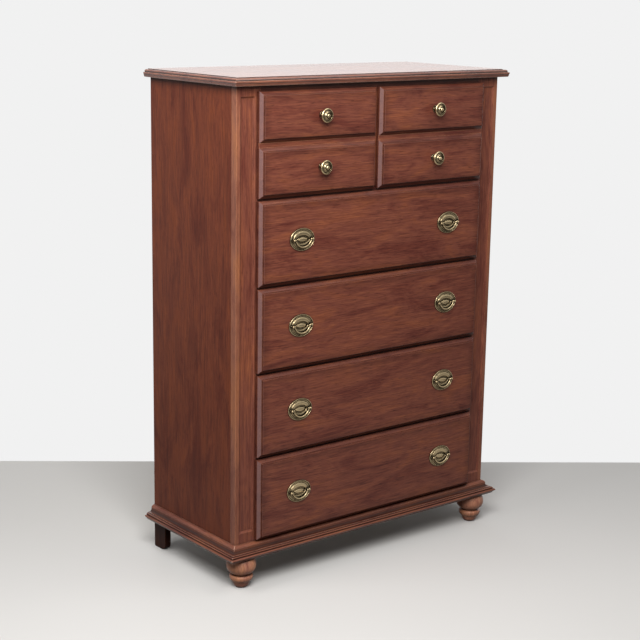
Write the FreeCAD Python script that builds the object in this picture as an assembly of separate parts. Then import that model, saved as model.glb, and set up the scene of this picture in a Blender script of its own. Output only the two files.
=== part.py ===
# Tall chest of drawers in stained wood: two deep drawers side by side over four wide ones, each deep
# drawer faced as two small ones, on a moulded base with turned front feet and plain rear feet.
# Millimetres. +Z up, floor at z = 0, the front looks along -Y, X runs to the right of someone facing it.
# The origin is on the floor, midway between the two sides and midway between the knobs and the back.
import FreeCAD, Part
import math
import os

# Height of the whole chest, and the top board with its moulded edge
overall_height = 1372.0
top_width = 965.0
top_depth = 432.0
top_thickness = 22.0
top_side_overhang = 21.5
top_front_overhang = 27.0
top_back_overhang = 3.0
top_edge_inset = 15.0
top_edge_fillet = 2.0
top_nose_step = 1.5
top_nose_drop = 12.0
top_nose_round = 4.0
top_ovolo_sag = 2.6
top_nose_sag = 1.1

# Case boards and face frame
side_thickness = 19.0
frame_thickness = 22.0
stile_width = 76.0
centre_stile_width = 30.0
rail_height = 22.0
rail_depth = 60.0
top_rail_shown = 15.0
back_thickness = 6.0
bottom_thickness = 18.0
rear_rail_thickness = 20.0

# Sunk panel in each stile
sunk_outer_margin = 12.5
sunk_width = 46.0
sunk_end_margin_top = 27.0
sunk_end_margin_bottom = 29.0
sunk_depth = 4.0
sunk_bevel = 5.0

# Base moulding, measured out from the case and up from its underside
base_top_height = 127.0
base_underside = 87.0
base_ledge_out = 9.3
base_ledge_rise = 5.5
base_ledge_fillet = 2.5
base_step_out = 20.4
base_cove_drop = 7.0
base_step_fillet = 3.0
base_groove_out = 28.0
base_groove_drop = 11.0
base_bead_out = 33.0
base_small_cove_sag = 1.2
base_cove_sag = 2.0

# Turned front feet
foot_inset_side = 30.0
foot_inset_front = 13.0
foot_tip_radius = 17.0
foot_neck_radius = 25.5
foot_ring_radius = 32.5
foot_waist_radius = 24.5
foot_ball_radius = 41.0
foot_top_radius = 31.0
foot_taper_height = 16.0
foot_ring_height = 31.0
foot_waist_height = 39.0
foot_ball_height = 63.0
foot_fillet = 2.0
foot_taper_sag = 1.5

# Rear feet
rear_foot_depth = 55.0
rear_foot_round = 20.0

# Drawer fronts: a lip that laps the frame, then a moulded bevel, a quirk and the raised face
lip_thickness = 8.0
lip_bevel_width = 8.5
lip_bevel_rise = 7.0
lip_bevel_sag = 0.7
lip_quirk = 2.0
lip_face_step = 5.5
side_margin = 65.0
deep_front_height = 275.0
row_gap = 6.0
base_gap = 3.0
centre_gap = 12.0
channel_width = 12.0
front_tongue = 8.0
front_standoff = 0.4
wide_rows = 4

# Drawer boxes and runners
box_side_thickness = 12.0
box_back_thickness = 12.0
box_bottom_thickness = 5.0
box_bottom_rise = 10.0
box_groove_depth = 5.0
box_side_clearance = 3.0
box_top_clearance = 8.0
box_rear_clearance = 14.0
box_back_drop = 12.0
runner_clearance = 0.3
runner_thickness = 18.0
guide_height = 22.0
guide_clearance = 2.0

# Oval bail pulls
pull_inset = 198.0
pull_rise = 5.0
plate_width = 81.0
plate_height = 61.0
plate_thickness = 1.6
plate_rim_rise = 1.4
plate_ring_rise = 2.4
plate_boss_rise = 3.0
post_spacing = 62.0
post_radius = 2.8
post_standoff = 8.2
eye_radius = 3.9
eye_half_width = 3.0
bail_radius = 2.0
bail_hub_radius = 2.6
bail_pin_radius = 1.6
bail_pin_clearance = 0.06
bail_side_clearance = 0.3
bail_drop = 20.0

# Ovals of the pull's plate from its outline in, as shares of its width and of its height: the ring
# is round outside and almond inside, round an almond boss
plate_outline_shares = (1.0, 1.0)
plate_rim_shares = (0.95, 0.95)
plate_ground_shares = (0.89, 0.89)
plate_ring_foot_shares = (0.76, 0.75)
plate_ring_top_shares = (0.66, 0.57)
plate_almond_shares = (0.55, 0.34)
plate_boss_shares = (0.41, 0.19)
plate_boss_top_shares = (0.15, 0.06)

# Round knobs
knob_radius = 19.0
knob_projection = 30.0
knob_flange_radius = 10.0
knob_flange_thickness = 2.0
knob_stem_radius = 6.0
knob_stem_length = 13.0
knob_rim_height = 18.0
knob_rim_round = 3.0
knob_ring_radius = 14.5
knob_ring_groove = 1.0
knob_button_radius = 5.5
knob_button_base = 25.0
knob_button_flat_radius = 1.8
knob_dome_sag = 0.8
knob_flare_sag = 1.0
lower_knob_rise = 8.0

# Flat sides round a turned or bent piece, and chords along its curves, few enough to keep repeats light
foot_sides = 26
foot_chords = 3
fitting_sides = 22
fitting_chords = 2
post_sides = 10
bow_sides = 6
bow_steps = 10

cut_overrun = 5.0

# Places that follow from the sizes above
case_width = top_width - 2 * top_side_overhang
case_depth = top_depth - top_front_overhang - top_back_overhang
case_half = case_width / 2
case_top = overall_height - top_thickness
lip_width = lip_bevel_width + lip_quirk
face_proud = lip_thickness + lip_bevel_rise + lip_face_step
front_reach = front_standoff + face_proud + knob_projection
front_y = (front_reach - case_depth - top_back_overhang) / 2
back_y = front_y + case_depth
frame_back_y = front_y + frame_thickness
panel_front_y = back_y - back_thickness
inner_half = case_half - side_thickness
opening_half = case_half - stile_width
front_half = case_half - side_margin
rows_height = case_top - top_rail_shown - deep_front_height - base_top_height - base_gap
wide_front_height = (rows_height - wide_rows * row_gap) / wide_rows
deep_front_width = front_half - centre_gap / 2
rail_lap = (rail_height - row_gap) / 2


def vec(x, y, z):
    return FreeCAD.Vector(x, y, z)


def block(x_low, x_high, y_low, y_high, z_low, z_high):
    """A board between two opposite corners."""
    return Part.makeBox(x_high - x_low, y_high - y_low, z_high - z_low, vec(x_low, y_low, z_low))


def outline_wire(points):
    """A closed wire in the XZ plane from (u, v, sag) points: sag bows the edge that starts there."""
    edges = []
    for index, (u, v, sag) in enumerate(points):
        next_u, next_v, _ = points[(index + 1) % len(points)]
        start = vec(u, 0, v)
        end = vec(next_u, 0, next_v)
        if sag == 0:
            edges.append(Part.makeLine(start, end))
            continue
        length = math.hypot(next_u - u, next_v - v)
        middle = vec(
            (u + next_u) / 2 - sag * (next_v - v) / length,
            0,
            (v + next_v) / 2 + sag * (next_u - u) / length,
        )
        edges.append(Part.Arc(start, middle, end).toShape())
    return Part.Wire(edges)


def prism(points, length):
    """The outline drawn out along +Y, centred on y = 0."""
    solid = Part.Face(outline_wire(points)).extrude(vec(0, length, 0))
    solid.translate(vec(0, -length / 2, 0))
    return solid


def cap_sag(radius, height):
    """Sag of the arc that domes a round top: it starts at the rim and meets the axis squarely."""
    dome = (radius ** 2 + height ** 2) / (2 * height)
    chord = math.hypot(radius, height)
    return dome - math.sqrt(dome ** 2 - chord ** 2 / 4)


def chorded(points, chords):
    """An open outline's (u, v) points, with each bowed edge as a few chords."""
    corners = []
    for (u, v, sag), (next_u, next_v, _) in zip(points, points[1:]):
        length = math.hypot(next_u - u, next_v - v)
        steps = chords if sag else 1
        for step in range(steps):
            share = step / steps
            bulge = 4 * sag * share * (1 - share) / length
            corners.append((
                u + share * (next_u - u) - bulge * (next_v - v),
                v + share * (next_v - v) + bulge * (next_u - u),
            ))
    corners.append(points[-1][:2])
    return corners


def flat_face(corners):
    return Part.Face(Part.makePolygon(corners + [corners[0]]))


def skinned(rings):
    """A solid over rings of corners: flat faces join each ring to the next and close both ends."""
    faces = [flat_face(rings[0][::-1]), flat_face(rings[-1])]
    for low, high in zip(rings, rings[1:]):
        for index in range(len(low)):
            after = (index + 1) % len(low)
            faces.append(flat_face([low[index], low[after], high[after]]))
            faces.append(flat_face([low[index], high[after], high[index]]))
    shell = Part.makeShell(faces)
    shell.sewShape()
    return Part.makeSolid(shell).removeSplitter()


def level_ring(half_width, half_depth, height, sides):
    """Corners of a level oval about Z, or of a circle."""
    corners = []
    for side in range(sides):
        turn = math.radians(360 * side / sides)
        corners.append(vec(half_width * math.cos(turn), half_depth * math.sin(turn), height))
    return corners


def turned(points, sides, chords=1):
    """A turned solid about Z with flat sides and ends, from (radius, height, sag) points."""
    rings = []
    for radius, height in chorded(points, chords):
        rings.append(level_ring(radius, radius, height, sides))
    return skinned(rings)


def mirrored(solid):
    """The left-hand copy of a right-hand piece."""
    return solid.mirror(vec(0, 0, 0), vec(1, 0, 0))


def joined(solids):
    """One solid from touching or lapping ones, with the seams cleaned away."""
    return solids[0].multiFuse(solids[1:]).removeSplitter()


def facing_front(solid):
    """Turns a piece that looks up so that it looks along -Y, with its +Y end up."""
    solid.rotate(vec(0, 0, 0), vec(1, 0, 0), 90)
    return solid


def moulded_panel(width, length, profile, moulded_edges):
    """A flat panel, back on z = 0 and face up, cut by the same edge profile on the edges named.

    The profile runs from the back's outer corner up to the face as (inset, height, sag). Corners
    come out mitred, because the panel is what the edge prisms have in common.
    """
    turns = {"left": 0, "front": 90, "right": 180, "back": 270}
    face_height = profile[-1][1]
    panel = block(-width / 2, width / 2, -length / 2, length / 2, 0, face_height)
    for edge in moulded_edges:
        reach = width if edge in ("left", "right") else length
        span = length if edge in ("left", "right") else width
        outline = list(profile) + [(reach, face_height, 0), (reach, 0, 0)]
        edge_prism = prism(outline, span + 2 * cut_overrun)
        edge_prism.translate(vec(-reach / 2, 0, 0))
        edge_prism.rotate(vec(0, 0, 0), vec(0, 0, 1), turns[edge])
        panel = panel.common(edge_prism)
    return panel


def top_board():
    """The top board: a fillet, an ovolo and a blunt nose along the front and both ends."""
    profile = [
        (top_nose_round, 0, top_nose_sag),
        (0, top_nose_round, 0),
        (0, top_thickness - top_nose_drop, 0),
        (top_nose_step, top_thickness - top_nose_drop, top_ovolo_sag),
        (top_edge_inset - top_edge_fillet, top_thickness - top_edge_fillet, 0),
        (top_edge_inset, top_thickness - top_edge_fillet, 0),
        (top_edge_inset, top_thickness, 0),
    ]
    board = moulded_panel(top_width, top_depth, profile, ("left", "front", "right"))
    board.translate(vec(0, front_y - top_front_overhang + top_depth / 2, case_top))
    return board


def stile():
    """The right-hand stile, with its long sunk panel and bevelled margins."""
    post = block(opening_half, case_half, front_y, frame_back_y, base_underside, case_top)
    sunk_low = base_top_height + sunk_end_margin_bottom
    sunk_high = case_top - sunk_end_margin_top
    sunk_right = case_half - sunk_outer_margin
    middle_x = sunk_right - sunk_width / 2
    middle_z = (sunk_low + sunk_high) / 2
    slope = [
        (sunk_bevel, 0, 0),
        (0, sunk_depth, 0),
        (0, sunk_depth + cut_overrun, 0),
    ]
    pocket = moulded_panel(sunk_width, sunk_high - sunk_low, slope, ("left", "front", "right", "back"))
    pocket = facing_front(pocket)
    pocket.translate(vec(middle_x, front_y + sunk_depth, middle_z))
    return post.cut(pocket)


def face_frame():
    """The rails and the short stile between the two deep drawers."""
    pieces = {}
    pieces["top_rail"] = block(
        -opening_half, opening_half, front_y, frame_back_y,
        case_top - top_rail_shown - rail_lap, case_top,
    )
    for row in range(1, wide_rows + 1):
        low = rail_bottom(row)
        pieces[f"rail_{row}"] = block(
            -opening_half, opening_half, front_y, front_y + rail_depth, low, low + rail_height
        )
    pieces["bottom_rail"] = block(
        -opening_half, opening_half, front_y, frame_back_y,
        base_underside, base_top_height + base_gap + rail_lap,
    )
    pieces["centre_stile"] = block(
        -centre_stile_width / 2, centre_stile_width / 2, front_y, frame_back_y,
        rail_bottom(1) + rail_height, case_top - top_rail_shown - rail_lap,
    )
    return pieces


def front_top(row):
    """Height of the upper edge of the fronts in a row, counted down from the deep drawers as 0."""
    top = case_top - top_rail_shown
    if row == 0:
        return top
    return top - deep_front_height - row_gap - (row - 1) * (wide_front_height + row_gap)


def rail_bottom(row):
    """Underside of the rail that lies above a row of wide drawers."""
    return front_top(row) + row_gap / 2 - rail_height / 2


def row_floor(row):
    """Top of the rail that a row of drawers runs on."""
    if row == wide_rows:
        return base_top_height + base_gap + rail_lap
    return rail_bottom(row + 1) + rail_height


def row_ceiling(row):
    """Underside of the rail above a row of drawers."""
    if row == 0:
        return case_top - top_rail_shown - rail_lap
    return rail_bottom(row)


def case_boards():
    """Sides, back, bottom board and the two rails along the back."""
    side = block(inner_half, case_half, frame_back_y, back_y, base_underside, case_top)
    rebate = block(
        inner_half - cut_overrun, inner_half + side_thickness / 2,
        panel_front_y, back_y + cut_overrun, base_underside - cut_overrun, case_top + cut_overrun,
    )
    side = side.cut(rebate)
    back_half = inner_half + side_thickness / 2
    bottom_top = base_underside + bottom_thickness
    rear_rails = []
    for high in (case_top, row_floor(0)):
        rear_rails.append(block(
            -inner_half, inner_half, panel_front_y - rear_rail_thickness, panel_front_y,
            high - rail_height, high,
        ))
    return {
        "side_right": side,
        "side_left": mirrored(side),
        "back_panel": block(-back_half, back_half, panel_front_y, back_y, base_underside, case_top),
        "bottom_board": block(
            -inner_half, inner_half, frame_back_y, panel_front_y, base_underside, bottom_top
        ),
        "rear_rails": Part.makeCompound(rear_rails),
    }


def side_runner(row):
    """A right-hand runner: a bearer under the drawer side with a guide block beside it."""
    floor = row_floor(row)
    box_outer = opening_half - box_side_clearance
    guide_inner = box_outer + guide_clearance
    bearer_inner = box_outer - box_side_thickness
    rear = panel_front_y - rear_rail_thickness if row == 0 else panel_front_y
    front = frame_back_y if row == wide_rows else front_y + rail_depth
    bearer = block(bearer_inner, inner_half, front, rear, floor - runner_thickness, floor)
    guide = block(guide_inner, inner_half, front, rear, floor, floor + guide_height)
    return joined([bearer, guide])


def centre_runner():
    """The runner between the two deep drawers: a bearer for both, with a guide along its middle."""
    floor = row_floor(0)
    front = front_y + rail_depth
    rear = panel_front_y - rear_rail_thickness
    box_edge = centre_stile_width / 2 + box_side_clearance
    bearer_half = box_edge + box_side_thickness
    guide_half = box_edge - guide_clearance
    bearer = block(-bearer_half, bearer_half, front, rear, floor - runner_thickness, floor)
    guide = block(-guide_half, guide_half, front, rear, floor, floor + guide_height)
    return joined([bearer, guide])


def runners():
    """All runners, as separate solids: one pair a row and the centre one."""
    solids = [centre_runner()]
    for row in range(wide_rows + 1):
        right = side_runner(row)
        solids += [right, mirrored(right)]
    return Part.makeCompound(solids)


def base_profile():
    """Base moulding section, (out from the case, height, sag): bead, groove, coves and ledge."""
    groove_height = base_underside + base_groove_drop
    bead_radius = base_groove_drop / 2
    step_height = base_top_height - base_ledge_rise - base_ledge_fillet - base_cove_drop
    ledge_height = base_top_height - base_ledge_rise
    bead_sag = base_bead_out - base_groove_out
    return [
        (0, base_underside, 0),
        (0, base_top_height, -base_small_cove_sag),
        (-base_ledge_out, ledge_height, 0),
        (-base_ledge_out, ledge_height - base_ledge_fillet, -base_cove_sag),
        (-base_step_out, step_height, 0),
        (-base_step_out, step_height - base_step_fillet, -base_cove_sag),
        (-base_groove_out, groove_height, -bead_sag),
        (-base_groove_out, groove_height - 2 * bead_radius, 0),
    ]


def base_mouldings():
    """Front and side lengths of the base moulding, mitred at the front corners."""
    reach = base_bead_out + cut_overrun
    profile = base_profile()
    low = base_underside - cut_overrun
    height = base_top_height + cut_overrun - low
    side = prism(profile, 2 * (case_depth + reach))
    side.translate(vec(-case_half, back_y, 0))
    side_mitre = [
        vec(-case_half - reach, front_y - reach, low),
        vec(-case_half, front_y, low),
        vec(-case_half, back_y, low),
        vec(-case_half - reach, back_y, low),
    ]
    side = side.common(mitre_prism(side_mitre, height))
    front = prism(profile, 2 * (case_half + reach))
    front.rotate(vec(0, 0, 0), vec(0, 0, 1), 90)
    front.translate(vec(0, front_y, 0))
    front_mitre = [
        vec(-case_half - reach, front_y - reach, low),
        vec(case_half + reach, front_y - reach, low),
        vec(case_half, front_y, low),
        vec(-case_half, front_y, low),
    ]
    front = front.common(mitre_prism(front_mitre, height))
    return {
        "base_moulding_front": front,
        "base_moulding_left": side,
        "base_moulding_right": mirrored(side),
    }


def mitre_prism(corners, height):
    """The plan shape of one length of moulding, drawn up through its whole height."""
    return Part.Face(Part.makePolygon(corners + [corners[0]])).extrude(vec(0, 0, height))


def bun_foot():
    """A turned front foot: a tapered tip, a ring, a waist and a ball under a short neck."""
    ball_top = base_underside - foot_fillet
    lower_sag = cap_sag(foot_ball_height - foot_waist_height, foot_ball_radius - foot_waist_radius)
    upper_sag = cap_sag(ball_top - foot_ball_height, foot_ball_radius - foot_top_radius)
    outline = [
        (foot_tip_radius, 0, -foot_taper_sag),
        (foot_neck_radius - foot_fillet, foot_taper_height, 0),
        (foot_neck_radius, foot_taper_height + foot_fillet, -foot_fillet),
        (foot_ring_radius, foot_ring_height, -foot_fillet),
        (foot_waist_radius, foot_waist_height - foot_fillet, 0),
        (foot_waist_radius, foot_waist_height, -lower_sag),
        (foot_ball_radius, foot_ball_height, -upper_sag),
        (foot_top_radius, ball_top, 0),
        (foot_top_radius, base_underside, 0),
    ]
    foot = turned(outline, foot_sides, foot_chords)
    foot.translate(vec(case_half - foot_inset_side, front_y + foot_inset_front, 0))
    return foot


def rear_foot():
    """A plain rear foot, a board under the side with its lower front corner rounded."""
    round_sag = rear_foot_round * (1 - math.cos(math.radians(45)))
    outline = [
        (rear_foot_round, 0, 0),
        (rear_foot_depth, 0, 0),
        (rear_foot_depth, base_underside, 0),
        (0, base_underside, 0),
        (0, rear_foot_round, -round_sag),
    ]
    foot = prism(outline, side_thickness)
    foot.rotate(vec(0, 0, 0), vec(0, 0, 1), 90)
    foot.translate(vec(case_half - side_thickness / 2, back_y - rear_foot_depth, 0))
    return foot


def front_profile():
    """Edge of a raised drawer face, (inset, height above the lip's back, sag)."""
    bevel_top = lip_thickness + lip_bevel_rise
    return [
        (0, 0, 0),
        (0, lip_thickness, -lip_bevel_sag),
        (lip_bevel_width, bevel_top, 0),
        (lip_width, bevel_top, 0),
        (lip_width, face_proud, 0),
    ]


def raised_face(width, height):
    """A lipped, raised face of this size, looking up."""
    return moulded_panel(width, height, front_profile(), ("left", "front", "right", "back"))


def tongue(width, height, opening_width):
    """The block behind the lip that enters the opening, looking up like the face."""
    half_width = opening_width / 2 - box_side_clearance
    half_height = height / 2 - rail_lap - box_top_clearance / 2
    return block(-half_width, half_width, -half_height, half_height, -front_tongue, 0)


def wide_front():
    """Front of a wide drawer, looking up and centred."""
    face = raised_face(2 * front_half, wide_front_height)
    return joined([face, tongue(2 * front_half, wide_front_height, 2 * opening_half)])


def deep_opening():
    """Width of the opening for one deep drawer."""
    return opening_half - centre_stile_width / 2


def deep_front():
    """Front of a deep drawer, faced as two small ones with a level channel between them."""
    panel_height = (deep_front_height - channel_width) / 2
    shift = (panel_height + channel_width) / 2
    upper = raised_face(deep_front_width, panel_height)
    lower = raised_face(deep_front_width, panel_height)
    upper.translate(vec(0, shift, 0))
    lower.translate(vec(0, -shift, 0))
    half = deep_front_width / 2
    channel = block(-half, half, -channel_width, channel_width, 0, lip_thickness)
    back = tongue(deep_front_width, deep_front_height, deep_opening())
    back.translate(vec(deep_tongue_shift(), 0, 0))
    return joined([upper, lower, channel, back])


def deep_centre():
    """Middle of the right-hand deep front."""
    return centre_gap / 2 + deep_front_width / 2


def deep_tongue_shift():
    """From the middle of the right-hand deep front to the middle of its opening."""
    return centre_stile_width / 2 + deep_opening() / 2 - deep_centre()


def placed_front(front, middle_x, row, height):
    """Stands a front up in its row."""
    front = facing_front(front)
    front.translate(vec(middle_x, front_y - front_standoff, front_top(row) - height / 2))
    return front


def drawer_box(x_low, x_high, row):
    """Sides, back and bottom of a drawer box between two x values."""
    floor = row_floor(row) + runner_clearance
    high = row_ceiling(row) - box_top_clearance
    front = front_y - front_standoff + front_tongue
    rear = panel_front_y - box_rear_clearance
    if row == 0:
        rear = rear - rear_rail_thickness
    inner_low = x_low + box_side_thickness
    inner_high = x_high - box_side_thickness
    bottom_low = floor + box_bottom_rise
    bottom_high = bottom_low + box_bottom_thickness
    bottom = block(
        inner_low - box_groove_depth, inner_high + box_groove_depth,
        front, rear, bottom_low, bottom_high,
    )
    sides = []
    for low, side_high in ((x_low, inner_low), (inner_high, x_high)):
        sides.append(block(low, side_high, front, rear, floor, high).cut(bottom))
    back = block(
        inner_low, inner_high, rear - box_back_thickness, rear, bottom_high, high - box_back_drop
    )
    return {"sides": Part.makeCompound(sides), "back": back, "bottom": bottom}


def pull_plate():
    """An oval back plate, looking up: raised rim, sunk ground, broad ring and almond boss."""
    ovals = [
        (plate_outline_shares, 0),
        (plate_outline_shares, plate_thickness),
        (plate_rim_shares, plate_thickness + plate_rim_rise),
        (plate_ground_shares, plate_thickness),
        (plate_ring_foot_shares, plate_thickness),
        (plate_ring_top_shares, plate_thickness + plate_ring_rise),
        (plate_almond_shares, plate_thickness),
        (plate_boss_shares, plate_thickness),
        (plate_boss_top_shares, plate_thickness + plate_boss_rise),
    ]
    rings = []
    for (width_share, height_share), height in ovals:
        half_width = plate_width / 2 * width_share
        half_height = plate_height / 2 * height_share
        rings.append(level_ring(half_width, half_height, height, fitting_sides))
    return skinned(rings)


def barrel(points):
    """A turned piece of (radius, place, sag) points about the X axis, with a post's number of sides."""
    solid = turned(points, post_sides)
    solid.rotate(vec(0, 0, 0), vec(0, 1, 0), 90)
    return solid


def pull_post():
    """A post with a round eye for the bail's pin, looking up, the pin along X.

    The bore's flat sides, not its corners, keep the clearance from the pin.
    """
    stem = turned([(post_radius, 0, 0), (post_radius, post_standoff, 0)], post_sides)
    eye = barrel([(eye_radius, -eye_half_width, 0), (eye_radius, eye_half_width, 0)])
    bore_radius = (bail_pin_radius + bail_pin_clearance) / math.cos(math.radians(180 / post_sides))
    bore = barrel([(bore_radius, -eye_radius, 0), (bore_radius, eye_radius, 0)])
    eye.translate(vec(0, 0, post_standoff))
    bore.translate(vec(0, 0, post_standoff))
    return stem.fuse(eye).cut(bore)


def pull_fixed():
    """Plate and both posts as one casting, looking up."""
    pieces = [pull_plate()]
    for side in (-1, 1):
        post = pull_post()
        post.translate(vec(side * post_spacing / 2, 0, 0))
        pieces.append(post)
    return pieces[0].fuse(pieces[1:])


def bow(half_width):
    """The bail's bent rod from one hub to the other, an arc that hangs along -Y."""
    bend = (half_width ** 2 + bail_drop ** 2) / (2 * bail_drop)
    half_turn = math.atan2(half_width, bend - bail_drop)
    rings = []
    for step in range(bow_steps + 1):
        turn = half_turn * (2 * step / bow_steps - 1)
        outwards = vec(math.sin(turn), -math.cos(turn), 0)
        ring = []
        for side in range(bow_sides):
            angle = math.radians(360 * side / bow_sides)
            corner = outwards * (bend + bail_radius * math.cos(angle))
            ring.append(corner + vec(0, bend - bail_drop, bail_radius * math.sin(angle)))
        rings.append(ring[::-1])
    return skinned(rings)


def bail():
    """The swinging handle, looking up and hanging along -Y, about its pin axis through the origin."""
    hub_outer = post_spacing / 2 - eye_half_width - bail_side_clearance
    hub_inner = hub_outer - 2 * bail_radius
    pin_end = post_spacing / 2 + eye_half_width
    hub = barrel([
        (bail_hub_radius, hub_inner, 0),
        (bail_hub_radius, hub_outer, 0),
        (bail_pin_radius, hub_outer, 0),
        (bail_pin_radius, pin_end, 0),
    ])
    hub.rotate(vec(0, 0, 0), vec(1, 0, 0), 180 / post_sides)
    return bow((hub_inner + hub_outer) / 2).fuse([hub, mirrored(hub)])


def knob():
    """A turned knob with a rim, a ring groove and a centre button, looking up."""
    button_sag = cap_sag(knob_button_radius, knob_projection - knob_button_base)
    outline = [
        (knob_flange_radius, 0, 0),
        (knob_stem_radius, knob_flange_thickness, 0),
        (knob_stem_radius, knob_stem_length, knob_flare_sag),
        (knob_radius, knob_rim_height, 0),
        (knob_radius, knob_rim_height + knob_rim_round, 0),
        (knob_radius - knob_rim_round, knob_rim_height + 2 * knob_rim_round, 0),
        (knob_ring_radius, knob_rim_height + knob_rim_round, -knob_dome_sag),
        (knob_button_radius + knob_ring_groove, knob_button_base, 0),
        (knob_button_radius, knob_button_base - knob_ring_groove, -button_sag),
        (knob_button_flat_radius, knob_projection, 0),
    ]
    return turned(outline, fitting_sides, fitting_chords)


def on_front(solid, x, z):
    """Seats a fitting that looks up on the raised face of a front."""
    solid = facing_front(solid)
    solid.translate(vec(x, front_y - front_standoff - face_proud, z))
    return solid


def pull_height(row):
    """Height of the pulls' middles in a row."""
    return front_top(row) - wide_front_height / 2 + pull_rise


def wide_drawers():
    """Every piece of the four wide drawers."""
    pieces = {}
    half = opening_half - box_side_clearance
    pull_x = case_half - pull_inset
    for row in range(1, wide_rows + 1):
        name = f"drawer_{row + 1}"
        pieces[f"{name}_front"] = placed_front(wide_front(), 0, row, wide_front_height)
        for part, solid in drawer_box(-half, half, row).items():
            pieces[f"{name}_{part}"] = solid
        plates = []
        for side, x in (("left", -pull_x), ("right", pull_x)):
            plates.append(on_front(pull_fixed(), x, pull_height(row)))
            handle = bail()
            handle.translate(vec(0, 0, post_standoff))
            pieces[f"{name}_bail_{side}"] = on_front(handle, x, pull_height(row))
        pieces[f"{name}_pull_plates"] = Part.makeCompound(plates)
    return pieces


def deep_drawers():
    """Every piece of the two deep drawers."""
    pieces = {}
    panel_height = (deep_front_height - channel_width) / 2
    x_low = centre_stile_width / 2 + box_side_clearance
    x_high = opening_half - box_side_clearance
    for side, sign in (("left", -1), ("right", 1)):
        name = f"drawer_1_{side}"
        front = placed_front(deep_front(), deep_centre(), 0, deep_front_height)
        box = drawer_box(x_low, x_high, 0)
        knobs = []
        for middle in (panel_height / 2, deep_front_height - panel_height / 2 - lower_knob_rise):
            knobs.append(on_front(knob(), sign * deep_centre(), front_top(0) - middle))
        pieces[f"{name}_knobs"] = Part.makeCompound(knobs)
        pieces[f"{name}_front"] = front if sign > 0 else mirrored(front)
        for part, solid in box.items():
            pieces[f"{name}_{part}"] = solid if sign > 0 else mirrored(solid)
    return pieces


def build():
    """All pieces by node name."""
    pieces = {"top_board": top_board()}
    pieces.update(case_boards())
    right_stile = stile()
    pieces["stile_right"] = right_stile
    pieces["stile_left"] = mirrored(right_stile)
    pieces.update(face_frame())
    pieces["runners"] = runners()
    pieces.update(base_mouldings())
    foot = bun_foot()
    pieces["front_feet"] = Part.makeCompound([foot, mirrored(foot)])
    plain_foot = rear_foot()
    pieces["rear_feet"] = Part.makeCompound([plain_foot, mirrored(plain_foot)])
    pieces.update(deep_drawers())
    pieces.update(wide_drawers())
    return pieces


os.makedirs("parts", exist_ok=True)
for node, shape in build().items():
    shape.exportStep(os.path.join("parts", f"{node}.step"))
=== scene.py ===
# Tall chest of drawers in red-brown stained wood with antique brass pulls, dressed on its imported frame.
# Metres. +Z up, floor at z = 0, the drawers look along -Y. The file follows the chest as it is put
# together, from the case boards to the pulls, and ends with the studio.
import math

import bpy
import numpy as np
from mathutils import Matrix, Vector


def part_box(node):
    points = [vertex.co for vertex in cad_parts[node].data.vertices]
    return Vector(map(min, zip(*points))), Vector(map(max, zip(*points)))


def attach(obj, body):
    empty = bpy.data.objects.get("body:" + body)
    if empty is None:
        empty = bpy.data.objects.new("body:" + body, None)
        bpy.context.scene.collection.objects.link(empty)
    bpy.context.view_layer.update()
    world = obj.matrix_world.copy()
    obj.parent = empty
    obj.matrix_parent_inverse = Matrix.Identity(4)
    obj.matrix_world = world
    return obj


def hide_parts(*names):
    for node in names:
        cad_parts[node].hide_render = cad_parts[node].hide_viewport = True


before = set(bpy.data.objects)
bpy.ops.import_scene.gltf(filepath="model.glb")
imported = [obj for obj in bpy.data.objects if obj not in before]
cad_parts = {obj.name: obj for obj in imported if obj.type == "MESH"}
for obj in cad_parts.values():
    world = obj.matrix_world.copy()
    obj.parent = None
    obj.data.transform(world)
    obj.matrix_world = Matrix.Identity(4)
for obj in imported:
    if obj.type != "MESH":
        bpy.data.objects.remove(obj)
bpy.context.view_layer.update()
mm = 0.001

# Case boards: solid sides with the grain upright, a plywood back and bottom let into them, and
# rails across the front and back. Stained red-brown and lacquered to a satin shine outside, and
# left bare inside, where plain poplar shows.


def linear(colour):
    """sRGB hex to linear: ((c + 0.055) / 1.055) to the power 2.4, or c / 12.92 near black."""
    value = np.array([int(colour[place:place + 2], 16) for place in (0, 2, 4)]) / 255
    bright = ((value + 0.055) / 1.055) ** 2.4
    return (*np.where(value > 0.04045, bright, value / 12.92), 1.0)


def add(tree, kind, settings=(), links=()):
    """Adds one node. Settings are properties, sockets or a ramp's stops; links join sockets to outputs."""
    node = tree.nodes.new(kind)
    for key, value in dict(settings).items():
        if key == "stops":
            stops = node.color_ramp.elements
            while len(stops) < len(value):
                stops.new(0.5)
            for stop, (place, colour) in zip(stops, value):
                stop.position = place
                stop.color = linear(colour)
        elif isinstance(key, str) and hasattr(node, key):
            setattr(node, key, value)
        else:
            node.inputs[key].default_value = value
    for key, source in dict(links).items():
        tree.links.new(source, node.inputs[key])
    return node


def new_material(name):
    """An empty node material and its tree."""
    material = bpy.data.materials.new(name)
    material.use_nodes = True
    material.node_tree.nodes.clear()
    return material, material.node_tree


def grain_space(tree, grain, across, along):
    """Object coordinates counted in grain figures: across and along are one figure's size in metres."""
    place = add(tree, "ShaderNodeTexCoord")
    size = [1 / across] * 3
    size["xyz".index(grain)] = 1 / along
    counted = add(tree, "ShaderNodeMapping", {"Scale": size}, {"Vector": place.outputs["Object"]})
    return counted.outputs["Vector"]


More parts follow.
